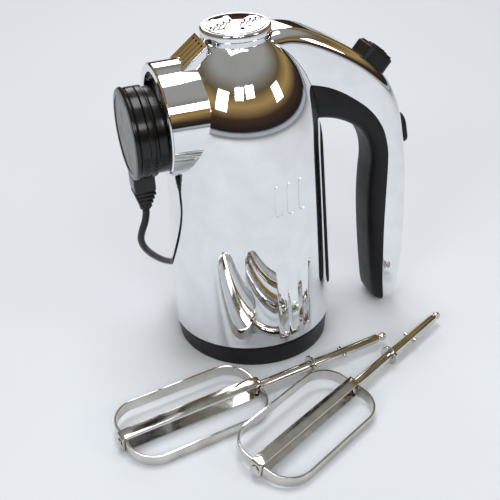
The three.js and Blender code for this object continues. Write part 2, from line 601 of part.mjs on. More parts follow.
function spindles() {
  for (const [y, side] of [[-DRIVE.offset, 'near'], [DRIVE.offset, 'far']]) {
    const half = DRIVE.gearWidth / 2;
    let gear = ring(DRIVE.tubeR + GAP, DRIVE.gearR - 1.6, -half, half, 'x', 14);
    for (let i = 0; i < DRIVE.teeth; i += 1) {
      const tooth = block([-half, -0.7, DRIVE.gearR - 2.4], [half, 0.7, DRIVE.gearR]);
      gear = gear.add(tooth.rotate([(360 * i) / DRIVE.teeth, 0, 0]));
    }
    add(mixer, `worm_gear_${side}`, MATERIAL.nylon(), gear.translate([0, y, DRIVE.z]));
    const tube = ring(DRIVE.boreR, DRIVE.tubeR, NOSE.plate - 1, half + 3, 'x', 14);
    add(mixer, `spindle_${side}`, MATERIAL.steel(), tube.translate([0, y, DRIVE.z]));
  }
}

/** The plate that pushes the beaters out, and the rod that works it from the handle. */
function ejector() {
  const front = -39.5;
  let plate = block([front, -24, DRIVE.z - 9], [front + 2, 24, DRIVE.z + 9]);
  plate = plate.add(block([front, EJECT.rodY - 2.2, DRIVE.z], [front + 2, EJECT.rodY + 3, EJECT.rodZ + 2]));
  plate = plate.subtract(block([-60, -3.2, PLUG.z + 5], [0, 3.2, 200]));
  for (const y of spindlePlaces) {
    plate = plate.subtract(rod(DRIVE.tubeR + RUN, -60, 0, 'x').translate([0, y, DRIVE.z]));
  }
  add(mixer, 'ejector_plate', MATERIAL.steel(), plate);
  const link = rod(2, front + 2 + GAP, 71, 'x', 12).translate([0, EJECT.rodY, EJECT.rodZ]);
  add(mixer, 'ejector_rod', MATERIAL.steel(), link);
  const coil = [];
  const turns = 5;
  for (let i = 0; i <= turns * 8; i += 1) {
    const angle = (2 * Math.PI * i) / 8;
    const x = 41 + (13 * i) / (turns * 8);
    coil.push([x, EJECT.rodY + 3.6 * Math.cos(angle), EJECT.rodZ + 3.6 * Math.sin(angle)]);
  }
  add(mixer, 'ejector_spring', MATERIAL.steel(), bar(coil, 0.6, { steps: 44, sides: 4 }));
}

// ---------------------------------------------------------------- beaters

/** Closed strip loop between two stations along X, seen flat: a rounded oblong with soft corners. */
function loopOutline(from, to, width, corner, inset) {
  const points = [];
  const halfLength = (to - from) / 2 - inset;
  const half = width / 2 - inset;
  const steps = 5;
  const signs = [[1, 1], [-1, 1], [-1, -1], [1, -1]];
  signs.forEach(([sx, sy], quarter) => {
    for (let i = 0; i <= steps; i += 1) {
      const angle = (Math.PI / 2) * (quarter + i / steps);
      const cx = halfLength - corner.x + inset;
      const cy = half - corner.y + inset;
      points.push([
        (from + to) / 2 + sx * cx + (corner.x - inset) * Math.cos(angle),
        sy * cy + (corner.y - inset) * Math.sin(angle),
      ]);
    }
  });
  return points;
}

function stripLoop(from, to, width, corner) {
  const outer = prism(loopOutline(from, to, width, corner, 0), BEATER.strip, 'z');
  return outer.subtract(prism(loopOutline(from, to, width, corner, BEATER.metal), BEATER.strip + 2, 'z'));
}

/** One beater along +X from its tip at the origin, in a group of its own. */
function beater(label, group) {
  const { length, shaftR, tipR, headAt, metal } = BEATER;
  const wideFrom = headAt + metal + GAP;
  const wideTo = length - metal - GAP;
  const shaft = turned([
    [0, -tipR], [1.6, -tipR + 0.5], [tipR, 0], [1.6, 2], [1.7, 3.4], [shaftR, 4.6],
    [shaftR, headAt + 2 * metal + 1],
    [shaftR + 1.2, headAt + 2 * metal + 1.4], [shaftR + 0.8, headAt + 2 * metal + 2.6],
    [0, headAt + 2 * metal + 3],
  ], 'x', 12);
  const ears = rod(1.5, -BEATER.earSpan / 2, BEATER.earSpan / 2, 'y', 8).translate([BEATER.earAt, 0, 0]);
  add(group, `beater_${label}_shaft`, MATERIAL.steel(), shaft.add(ears));

  const washer = ring(shaftR + GAP, BEATER.washerR, BEATER.washerAt, BEATER.washerAt + 1.8, 'x', 14);
  add(group, `beater_${label}_washer`, MATERIAL.steel(), washer);

  const bore = rod(shaftR + GAP, headAt - 5, headAt + 8, 'x', 12);
  const rivetBore = rod(1.5 + GAP, length - 8, length + 8, 'x', 10);
  const wide = stripLoop(wideFrom, wideTo, BEATER.wide, { x: 17, y: 16 });
  add(group, `beater_${label}_wide_loop`, MATERIAL.steel(), wide.subtract(bore).subtract(rivetBore));
  const narrow = stripLoop(headAt, length, BEATER.narrow, { x: 8, y: 1.6 }).rotate([90, 0, 0]);
  add(group, `beater_${label}_narrow_loop`, MATERIAL.steel(), narrow.subtract(bore).subtract(rivetBore));
  const rivet = join([
    rod(1.5, wideTo - metal - 1, length + 0.6, 'x', 8),
    rod(2.6, length + GAP, length + 1.2, 'x', 8),
    rod(2.6, wideTo - metal - 1.2, wideTo - metal - GAP, 'x', 8),
  ]);
  add(group, `beater_${label}_rivet`, MATERIAL.steel(), rivet);
}

/** Roll of a beater that lies on one side of its wide loop and on its narrow loop. */
const FLAT_ROLL = THREE.MathUtils.radToDeg(
  Math.atan2(BEATER.narrow - BEATER.strip, BEATER.wide - BEATER.strip));

/** Lays a beater on the floor: the place of its tip, the heading of its loops and its roll, in degrees. */
function layBeater(label, tip, heading, roll) {
  const group = new THREE.Group();
  const turn = new THREE.Matrix4().makeRotationZ(THREE.MathUtils.degToRad(heading))
    .multiply(new THREE.Matrix4().makeRotationX(-THREE.MathUtils.degToRad(roll)));
  group.quaternion.setFromRotationMatrix(turn);
  group.position.set(tip[0], tip[1], 0);
  beater(label, group);
  group.position.z -= new THREE.Box3().setFromObject(group, true).min.z;
  object.add(group);
}

// ---------------------------------------------------------------- assembly

housing();
spine();
ventCap();
backStrip();
heel();
basePlate();
handle();
ejectButton();
speedSlider();
switchBody();
nose();
plug();
strainRelief();
cord();
reel();
motor();
gearCase();
spindles();
ejector();
layBeater('a', [67.7, -54.5], 191.2, FLAT_ROLL);
layBeater('b', [110, -48.5], 209.2, BEATER.overRoll);

export default object;
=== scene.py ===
"""Upright chrome hand mixer with a soft grip, a parked mains plug and two loose beaters.

Lengths are in millimetres in the classes and turned to metres where a mesh is made. The mixer's own
pieces are shaped upright and then leaned with the wedge of its heel.
"""
import json
import logging
import math
from dataclasses import dataclass
from enum import Enum
from typing import Sequence

import bpy
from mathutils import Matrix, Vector


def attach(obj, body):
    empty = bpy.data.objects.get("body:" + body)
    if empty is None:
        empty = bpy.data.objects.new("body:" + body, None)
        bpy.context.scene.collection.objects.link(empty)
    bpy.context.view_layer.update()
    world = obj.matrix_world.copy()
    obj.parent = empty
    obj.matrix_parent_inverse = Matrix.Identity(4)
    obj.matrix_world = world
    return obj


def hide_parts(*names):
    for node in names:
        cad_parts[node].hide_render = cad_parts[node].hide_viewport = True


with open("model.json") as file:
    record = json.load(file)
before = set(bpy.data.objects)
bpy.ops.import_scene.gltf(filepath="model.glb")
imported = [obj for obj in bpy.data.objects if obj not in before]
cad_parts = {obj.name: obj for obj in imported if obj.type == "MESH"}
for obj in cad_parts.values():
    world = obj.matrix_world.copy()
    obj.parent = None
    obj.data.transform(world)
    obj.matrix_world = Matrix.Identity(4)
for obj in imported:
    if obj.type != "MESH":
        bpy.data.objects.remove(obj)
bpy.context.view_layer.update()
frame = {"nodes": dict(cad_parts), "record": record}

log = logging.getLogger("hand_mixer")

MM = 0.001
LEAN = math.radians(2.1)
DOUBLES = 1e-6  # metres within which vertices are merged
Point2 = tuple[float, float]
Point3 = tuple[float, float, float]


class Axis(Enum):
    """The axis that a turned piece stands on, as the rotation that takes Z to it."""

    Z = (0.0, 0.0, 0.0)
    X = (0.0, math.pi / 2, 0.0)
    Y = (-math.pi / 2, 0.0, 0.0)


class Seat(Enum):
    """What a piece stands in: the leaning mixer, or the room."""

    MIXER = "mixer"
    ROOM = "room"


# ---------------------------------------------------------------- bench tools


def deselect() -> None:
    """Clears the selection and leaves edit mode."""
    if bpy.context.object and bpy.context.object.mode != "OBJECT":
        bpy.ops.object.mode_set(mode="OBJECT")
    bpy.ops.object.select_all(action="DESELECT")


def pick(piece: bpy.types.Object) -> bpy.types.Object:
    """Makes a piece the only selected one, and the active one.

    Args:
        piece: The piece.

    Returns:
        The piece.
    """
    deselect()
    piece.select_set(True)
    bpy.context.view_layer.objects.active = piece
    return piece


def named(name: str) -> bpy.types.Object:
    """Names the active piece and its mesh.

    Args:
        name: The name.

    Returns:
        The piece.
    """
    piece = bpy.context.object
    piece.name = name
    piece.data.name = name
    return piece


def settle(piece: bpy.types.Object) -> None:
    """Puts a piece's place, turn and scale into its mesh.

    Args:
        piece: The piece.
    """
    pick(piece)
    bpy.ops.object.transform_apply(location=True, rotation=True, scale=True)


def move(piece: bpy.types.Object, turn: Point3 = (0, 0, 0), shift: Point3 = (0, 0, 0)) -> bpy.types.Object:
    """Turns a piece about the origin, in radians, then shifts it in millimetres, in its mesh.

    Args:
        piece: The piece.
        turn: Euler angles.
        shift: Where the origin goes.

    Returns:
        The piece.
    """
    piece.rotation_euler = turn
    settle(piece)
    piece.location = [MM * value for value in shift]
    settle(piece)
    return piece


def apply(piece: bpy.types.Object, kind: str, **settings) -> bpy.types.Object:
    """Adds a modifier with its settings and applies it.

    Args:
        piece: The piece it works on.
        kind: The modifier's type.
        **settings: Its values.

    Returns:
        The piece.
    """
    pick(piece)
    modifier = piece.modifiers.new(kind.lower(), kind)
    for key, value in settings.items():
        setattr(modifier, key, value)
    bpy.ops.object.modifier_apply(modifier=modifier.name)
    return piece


def combine(piece: bpy.types.Object, tool: bpy.types.Object, operation: str) -> bpy.types.Object:
    """Joins, cuts or crosses a piece with a tool, which is then thrown away.

    Args:
        piece: The piece that is changed.
        tool: The closed solid it meets.
        operation: UNION, DIFFERENCE or INTERSECT.

    Returns:
        The piece.
    """
    apply(piece, "BOOLEAN", operation=operation, object=tool, solver="EXACT")
    bpy.data.objects.remove(tool, do_unlink=True)
    return piece


def copied(piece: bpy.types.Object, name: str) -> bpy.types.Object:
    """Copies a piece with a mesh of its own.

    Args:
        piece: The piece to copy.
        name: The copy's name.

    Returns:
        The copy.
    """
    twin = piece.copy()
    twin.data = piece.data.copy()
    bpy.context.collection.objects.link(twin)
    twin.name = name
    return twin


def tidy_mesh(piece: bpy.types.Object) -> bpy.types.Object:
    """Merges doubles and points the faces outwards.

    Args:
        piece: The piece.

    Returns:
        The piece.
    """
    pick(piece)
    bpy.ops.object.mode_set(mode="EDIT")
    bpy.ops.mesh.select_all(action="SELECT")
    bpy.ops.mesh.remove_doubles(threshold=DOUBLES)
    bpy.ops.mesh.normals_make_consistent(inside=False)
    bpy.ops.object.mode_set(mode="OBJECT")
    return piece


def smooth(piece: bpy.types.Object, degrees: float = 32) -> bpy.types.Object:
    """Shades a piece smooth up to an edge angle.

    Args:
        piece: The piece.
        degrees: The angle above which an edge stays sharp.

    Returns:
        The piece.
    """
    pick(piece)
    bpy.ops.object.shade_smooth_by_angle(angle=math.radians(degrees))
    return piece


def soften(piece: bpy.types.Object, width: float, segments: int = 2, degrees: float = 35) -> bpy.types.Object:
    """Rounds the sharp edges of a piece.

    Args:
        piece: The piece.
        width: Width of the rounding, in millimetres.
        segments: Its segments.
        degrees: The angle above which an edge counts as sharp.

    Returns:
        The piece.
    """
    return apply(piece, "BEVEL", width=width * MM, segments=segments, limit_method="ANGLE",
                 angle_limit=math.radians(degrees), miter_outer="MITER_ARC", use_clamp_overlap=True)


def lathe(name: str, profile: Sequence[Point2], axis: Axis = Axis.Z, sides: int = 96,
          ring: bool = False) -> bpy.types.Object:
    """Turns a profile by extruding and scaling a circle along its axis.

    Args:
        name: The piece's name.
        profile: Pairs of radius and height, none of them at radius 0.
        axis: The axis it stands on.
        sides: How many sides the circle has.
        ring: Whether the profile closes on itself, round a hole.

    Returns:
        The turned piece.
    """
    deselect()
    radius, height = profile[0]
    bpy.ops.mesh.primitive_circle_add(vertices=sides, radius=radius * MM, location=(0, 0, height * MM))
    piece = named(name)
    bpy.ops.object.mode_set(mode="EDIT")
    bpy.ops.mesh.select_all(action="SELECT")
    steps = list(profile[1:]) + ([profile[0]] if ring else [])
    for next_radius, next_height in steps:
        bpy.ops.mesh.extrude_region_move(
            TRANSFORM_OT_translate={"value": (0, 0, (next_height - height) * MM)})
        if abs(next_radius - radius) > 1e-6:
            scale = next_radius / radius
            bpy.ops.transform.resize(value=(scale, scale, 1), center_override=(0, 0, next_height * MM))
        radius, height = next_radius, next_height
    bpy.ops.mesh.select_all(action="SELECT")
    bpy.ops.mesh.remove_doubles(threshold=DOUBLES)
    if not ring:
        bpy.ops.mesh.select_all(action="DESELECT")
        bpy.ops.mesh.select_non_manifold()
        bpy.ops.mesh.fill_holes(sides=0)
    bpy.ops.mesh.select_all(action="SELECT")
    bpy.ops.mesh.normals_make_consistent(inside=False)
    bpy.ops.object.mode_set(mode="OBJECT")
    settle(piece)
    return move(piece, axis.value)


def brick(name: str, low: Point3, high: Point3, rounding: float = 0.6) -> bpy.types.Object:
    """A block between two corners with its edges rounded.

    Args:
        name: The piece's name.
        low: Its lowest corner.
        high: Its highest corner.
        rounding: Radius of its edges, or 0.

    Returns:
        The block.
    """
    deselect()
    middle = [MM * (a + b) / 2 for a, b in zip(low, high)]
    bpy.ops.mesh.primitive_cube_add(size=1, location=middle)
    piece = named(name)
    piece.scale = [MM * (b - a) for a, b in zip(low, high)]
    settle(piece)
    if rounding:
        apply(piece, "BEVEL", width=rounding * MM, segments=3, limit_method="NONE")
    return piece


def plate(name: str, outline: Sequence[Point2], width: float, rounding: float = 0,
          steps: int = 5, axis: Axis = Axis.Y) -> bpy.types.Object:
    """A flat outline given a width across its axis and rounded edges.

    Args:
        name: The piece's name.
        outline: Corners; X and Z for a piece across Y, X and Y for a flat one.
        width: Its full width.
        rounding: Radius of its edges.
        steps: Segments of each rounded edge.
        axis: Y or Z, the axis it is wide along.

    Returns:
        The closed piece, centred on the origin along its axis.
    """
    deselect()
    curve = bpy.data.curves.new(name, "CURVE")
    curve.dimensions = "2D"
    curve.fill_mode = "BOTH"
    curve.extrude = (width / 2 - rounding) * MM
    curve.bevel_depth = rounding * MM
    curve.bevel_resolution = steps
    curve.offset = -rounding * MM
    line = curve.splines.new("POLY")
    line.points.add(len(outline) - 1)
    for point, (x, y) in zip(line.points, outline):
        point.co = (x * MM, y * MM, 0, 1)
    line.use_cyclic_u = True
    piece = bpy.data.objects.new(name, curve)
    bpy.context.collection.objects.link(piece)
    pick(piece)
    bpy.ops.object.convert(target="MESH")
    piece = tidy_mesh(named(name))
    return move(piece, (math.pi / 2, 0, 0) if axis is Axis.Y else (0, 0, 0))


def curve_through(points: Sequence[tuple[float, ...]], count: int) -> list[tuple[float, ...]]:
    """A smooth open curve through points.

    Args:
        points: The points it passes.
        count: How many steps it has.

    Returns:
        The points of the curve.
    """
    found = []
    last = len(points) - 1
    for step in range(count + 1):
        place = step / count * last
        i = min(int(place), last - 1)
        t = place - i
        p0, p1, p2, p3 = (points[max(min(i + k, last), 0)] for k in (-1, 0, 1, 2))
        found.append(tuple(
            0.5 * (2 * b + (c - a) * t + (2 * a - 5 * b + 4 * c - d) * t * t
                   + (3 * b - a - 3 * c + d) * t ** 3)
            for a, b, c, d in zip(p0, p1, p2, p3)))
    return found


def oval(length: float, width: float, steps: int = 10) -> list[Point2]:
    """Corners of a slot with round ends, its long side along X.

    Args:
        length: Its full length.
        width: Its full width.
        steps: Steps of each round end.

    Returns:
        The corners.
    """
    reach, r = (length - width) / 2, width / 2
    corners = []
    for side in (1, -1):
        for i in range(steps + 1):
            angle = math.pi * (i / steps - 0.5) + (0 if side > 0 else math.pi)
            corners.append((side * reach + r * math.cos(angle), r * math.sin(angle)))
    return corners


def rounded_box(x: float, y: float, corner_x: float, corner_y: float, steps: int = 10) -> list[Point2]:
    """Corners of an oblong with soft corners.

    Args:
        x: Half its length.
        y: Half its width.
        corner_x: Reach of a corner along its length.
        corner_y: Reach of a corner along its width.
        steps: Steps of each corner.

    Returns:
        The corners.
    """
    corners = []
    for quarter, (sx, sy) in enumerate(((1, 1), (-1, 1), (-1, -1), (1, -1))):
        for i in range(steps + 1):
            angle = math.pi / 2 * (quarter + i / steps)
            corners.append((sx * (x - corner_x) + corner_x * math.cos(angle),
                            sy * (y - corner_y) + corner_y * math.sin(angle)))
    return corners


# ---------------------------------------------------------------- shared effects


def new_group(name: str, inputs: dict[str, float], outputs: Sequence[str]) -> bpy.types.NodeTree:
    """Makes a shader node group with number sockets.

    Args:
        name: The group's name.
        inputs: Its input sockets and their defaults.
        outputs: Its output sockets.

    Returns:
        The group, with its input and output nodes in it.
    """
    tree = bpy.data.node_groups.new(name, "ShaderNodeTree")
    for label, value in inputs.items():
        tree.interface.new_socket(label, in_out="INPUT", socket_type="NodeSocketFloat").default_value = value
    for label in outputs:
        tree.interface.new_socket(label, in_out="OUTPUT", socket_type="NodeSocketFloat")
    tree.nodes.new("NodeGroupInput").name = "in"
    tree.nodes.new("NodeGroupOutput").name = "out"
    return tree


def add_node(tree: bpy.types.NodeTree, kind: str, **values) -> bpy.types.Node:
    """Adds a node.

    Args:
        tree: Where it goes.
        kind: Its type.
        **values: Properties of the node, or inputs by their lower-case names.

    Returns:
        The node.
    """
    node = tree.nodes.new(kind)
    for key, value in values.items():
        label = key.replace("_", " ").title()
        if hasattr(node, key):
            setattr(node, key, value)
        else:
            node.inputs[label].default_value = value
    return node


def noise(tree: bpy.types.NodeTree, scale: float, detail: float = 3, stretch: Point3 = (1, 1, 1),
          turn: float = 0) -> bpy.types.NodeSocket:
    """A noise on object coordinates, in metres.

    Args:
        tree: Where it goes.
        scale: How fine it is, per metre.
        detail: Its octaves.
        stretch: Scale along each axis.
        turn: Turn about Z, in radians.

    Returns:
        Its factor socket.
    """
    place = tree.nodes.new("ShaderNodeTexCoord")
    mapping = tree.nodes.new("ShaderNodeMapping")
    mapping.inputs["Scale"].default_value = stretch
    mapping.inputs["Rotation"].default_value = (0, 0, turn)
    texture = add_node(tree, "ShaderNodeTexNoise", scale=scale, detail=detail)
    tree.links.new(place.outputs["Object"], mapping.inputs["Vector"])
    tree.links.new(mapping.outputs["Vector"], texture.inputs["Vector"])
    return texture.outputs["Fac"]


def spread(tree: bpy.types.NodeTree, value: bpy.types.NodeSocket, low, high,
           start: float = 0.35, end: float = 0.65) -> bpy.types.NodeSocket:
    """Maps a factor from one span to another.

    Args:
        tree: Where it goes.
        value: The factor.
        low: What start becomes, a number or a socket.
        high: What end becomes, a number or a socket.
        start: Where the span starts.
        end: Where the span ends.

    Returns:
        The mapped value.
    """
    node = tree.nodes.new("ShaderNodeMapRange")
    for label, number in (("From Min", start), ("From Max", end), ("To Min", low), ("To Max", high)):
        if isinstance(number, bpy.types.NodeSocket):
            tree.links.new(number, node.inputs[label])
        else:
            node.inputs[label].default_value = number
    tree.links.new(value, node.inputs["Value"])
    return node.outputs["Result"]


def smudge_group() -> bpy.types.NodeTree:
    """Roughness that wanders between two values in large soft marks and fine hairlines."""
    tree = new_group("smudges", {"Clean": 0.05, "Marked": 0.2, "Size": 60.0}, ["Roughness"])
    source, sink = tree.nodes["in"], tree.nodes["out"]
    marks = noise(tree, 60, 4)
    tree.links.new(source.outputs["Size"], marks.node.inputs["Scale"])
    hairs = noise(tree, 700, 2, (1, 1, 0.06), 0.4)
    both = add_node(tree, "ShaderNodeMath", operation="MULTIPLY")
    tree.links.new(spread(tree, marks, 0, 1, 0.45, 0.75), both.inputs[0])
    tree.links.new(spread(tree, hairs, 0.4, 1), both.inputs[1])
    tree.links.new(
        spread(tree, both.outputs[0], source.outputs["Clean"], source.outputs["Marked"], 0, 1),
        sink.inputs["Roughness"])
    return tree


def grain_group() -> bpy.types.NodeTree:
    """Height of a fine moulded grain over a slow waviness."""
    tree = new_group("moulded_grain", {"Fineness": 2500.0, "Depth": 1.0}, ["Height"])
    source, sink = tree.nodes["in"], tree.nodes["out"]
    fine = noise(tree, 2500, 2)
    tree.links.new(source.outputs["Fineness"], fine.node.inputs["Scale"])
    slow = noise(tree, 45, 2)
    total = add_node(tree, "ShaderNodeMath", operation="MULTIPLY_ADD")
    tree.links.new(slow, total.inputs[0])
    total.inputs[1].default_value = 0.6
    tree.links.new(fine, total.inputs[2])
    deep = add_node(tree, "ShaderNodeMath", operation="MULTIPLY")
    tree.links.new(total.outputs[0], deep.inputs[0])
    tree.links.new(source.outputs["Depth"], deep.inputs[1])
    tree.links.new(deep.outputs[0], sink.inputs["Height"])
    return tree


def dust_group() -> bpy.types.NodeTree:
    """Mask of a thin dust that lies on what faces up."""
    tree = new_group("dust", {"Amount": 0.1}, ["Mask"])
    source, sink = tree.nodes["in"], tree.nodes["out"]
    surface = tree.nodes.new("ShaderNodeNewGeometry")
    split = tree.nodes.new("ShaderNodeSeparateXYZ")
    tree.links.new(surface.outputs["Normal"], split.inputs["Vector"])
    upward = spread(tree, split.outputs["Z"], 0, 1, 0.2, 1.0)
    patchy = add_node(tree, "ShaderNodeMath", operation="MULTIPLY")
    tree.links.new(upward, patchy.inputs[0])
    tree.links.new(spread(tree, noise(tree, 300, 5), 0.2, 1), patchy.inputs[1])
    amount = add_node(tree, "ShaderNodeMath", operation="MULTIPLY")
    tree.links.new(patchy.outputs[0], amount.inputs[0])
    tree.links.new(source.outputs["Amount"], amount.inputs[1])
    tree.links.new(amount.outputs[0], sink.inputs["Mask"])
    return tree


# ---------------------------------------------------------------- finishes


@dataclass(frozen=True)
class Finish:
    """A surface of one colour family with its own grain, smudges and dust.

    Attributes:
        name: The material's name, which is the record's slot.
        dark: Base colour in the low spots.
        light: Base colour in the high spots.
        metallic: 0 or 1.
        clean: Roughness where it is untouched.
        marked: Roughness where it is handled.
        smudge: How fine the marks are, per metre.
        grain: How fine the grain is, per metre.
        bump: Depth of the grain, in metres.
        dust: Share of dust on top faces.
        stretch: Direction of the drawing or machining lines.
        specular: Strength of its gloss where it isn't metal.
    """

    name: str
    dark: Point3
    light: Point3
    metallic: float
    clean: float
    marked: float
    smudge: float = 60
    grain: float = 2500
    bump: float = 1e-5
    dust: float = 0.06
    stretch: Point3 = (1, 1, 1)
    specular: float = 0.5

    def build(self) -> bpy.types.Material:
        """Makes the material.

        Returns:
            The material with its nodes.
        """
        material = bpy.data.materials.new(self.name)
        material.use_nodes = True
        tree = material.node_tree
        shader = tree.nodes["Principled BSDF"]
        shader.inputs["Metallic"].default_value = self.metallic
        shader.inputs["Specular IOR Level"].default_value = self.specular
        tint = add_node(tree, "ShaderNodeMix", data_type="RGBA")
        tint.inputs[6].default_value = (*self.dark, 1)
        tint.inputs[7].default_value = (*self.light, 1)
        tree.links.new(spread(tree, noise(tree, 90, 4, self.stretch), 0, 1), tint.inputs["Factor"])
        dusty = add_node(tree, "ShaderNodeMix", data_type="RGBA")
        dusty.inputs[7].default_value = (0.55, 0.53, 0.5, 1)
        dust = self.group(tree, "dust", Amount=self.dust)
        tree.links.new(tint.outputs[2], dusty.inputs[6])
        tree.links.new(dust.outputs["Mask"], dusty.inputs["Factor"])
        tree.links.new(dusty.outputs[2], shader.inputs["Base Color"])
        smudges = self.group(tree, "smudges", Clean=self.clean, Marked=self.marked, Size=self.smudge)
        tree.links.new(smudges.outputs["Roughness"], shader.inputs["Roughness"])
        if self.bump:
            grain = self.group(tree, "moulded_grain", Fineness=self.grain, Depth=1)
            bump = tree.nodes.new("ShaderNodeBump")
            bump.inputs["Distance"].default_value = self.bump
            tree.links.new(grain.outputs["Height"], bump.inputs["Height"])
            tree.links.new(bump.outputs["Normal"], shader.inputs["Normal"])
        return material

    @staticmethod
    def group(tree: bpy.types.NodeTree, name: str, **values: float) -> bpy.types.Node:
        """Places a shared group in a material with its own values."""
        node = tree.nodes.new("ShaderNodeGroup")
        node.node_tree = bpy.data.node_groups[name]
        for label, value in values.items():
            node.inputs[label].default_value = value
        return node


FINISHES = (
    Finish("chrome", (0.80, 0.81, 0.83), (0.86, 0.87, 0.89), 1, 0.025, 0.09, 40, 900, 2e-6, 0.02),
    Finish("soft_rubber", (0.004, 0.004, 0.005), (0.009, 0.009, 0.011), 0, 0.42, 0.6, 90, 3200, 2.2e-5, 0.006,
           specular=0.28),
    Finish("black_plastic", (0.004, 0.004, 0.005), (0.008, 0.008, 0.009), 0, 0.18, 0.36, 120, 2400, 1e-5,
           0.008, specular=0.4),
    Finish("nylon", (0.72, 0.69, 0.6), (0.8, 0.77, 0.69), 0, 0.4, 0.6, 100, 1800, 1.5e-5),
    Finish("brass", (0.62, 0.45, 0.18), (0.74, 0.56, 0.26), 1, 0.18, 0.36, 200, 2600, 6e-6),
    Finish("copper", (0.5, 0.2, 0.09), (0.66, 0.3, 0.14), 1, 0.24, 0.42, 260, 1500, 4e-5, 0.06, (1, 1, 14)),
    Finish("lamination", (0.12, 0.12, 0.13), (0.24, 0.24, 0.25), 1, 0.4, 0.62, 200, 1600, 4e-5, 0.08,
           (1, 1, 40)),
    Finish("carbon", (0.02, 0.02, 0.021), (0.045, 0.045, 0.046), 0, 0.55, 0.75, 240, 3000, 3e-5),
    Finish("steel", (0.5, 0.49, 0.47), (0.62, 0.61, 0.59), 1, 0.16, 0.34, 180, 2600, 6e-6),
    Finish("beater_steel", (0.56, 0.54, 0.5), (0.7, 0.68, 0.64), 1, 0.1, 0.24, 150, 2200, 5e-6, 0.03),
)


class Paintshop:
    """Holds the materials and dresses pieces and carried-over nodes in them."""

    def __init__(self) -> None:
        """Builds the shared groups and every finish."""
        smudge_group()
        grain_group()
        dust_group()
        self.materials = {finish.name: finish.build() for finish in FINISHES}

    def dress(self, piece: bpy.types.Object, finish: str) -> bpy.types.Object:
        """Gives a piece one finish in place of what it has."""
        piece.data.materials.clear()
        piece.data.materials.append(self.materials[finish])
        return piece

    def dress_nodes(self) -> None:
        """Dresses every CAD node in the finish of its record slot."""
        for part in frame["record"]["subparts"]:
            piece = frame["nodes"][part["node"]]
            piece = bpy.data.objects[piece] if isinstance(piece, str) else piece
            material = self.materials[part["material_slot"]]
            for slot in piece.material_slots:
                slot.material = material


@dataclass
class Assembly:
    """A group of pieces that are made, leaned, dressed and put on a body together.

    Attributes:
        shop: The paintshop.
    """

    shop: Paintshop

    def place(self, piece: bpy.types.Object, finish: str, body: str, nodes: Sequence[str],
              seat: Seat = Seat.MIXER, degrees: float = 32) -> bpy.types.Object:
        """Finishes a piece and puts it on its body in place of CAD nodes.

        Args:
            piece: The piece, upright if it belongs to the mixer.
            finish: Its material.
            body: The body it rides on.
            nodes: The CAD nodes it stands for.
            seat: Whether it leans with the mixer.
            degrees: Edge angle up to which it is shaded smooth.

        Returns:
            The piece.
        """
        if seat is Seat.MIXER:
            move(piece, (0, -LEAN, 0))
        smooth(piece, degrees)
        self.shop.dress(piece, finish)
        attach(piece, body)
        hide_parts(*nodes)
        log.info("%s: %d faces on %s", piece.name, len(piece.data.polygons), body)
        return piece


# ---------------------------------------------------------------- body


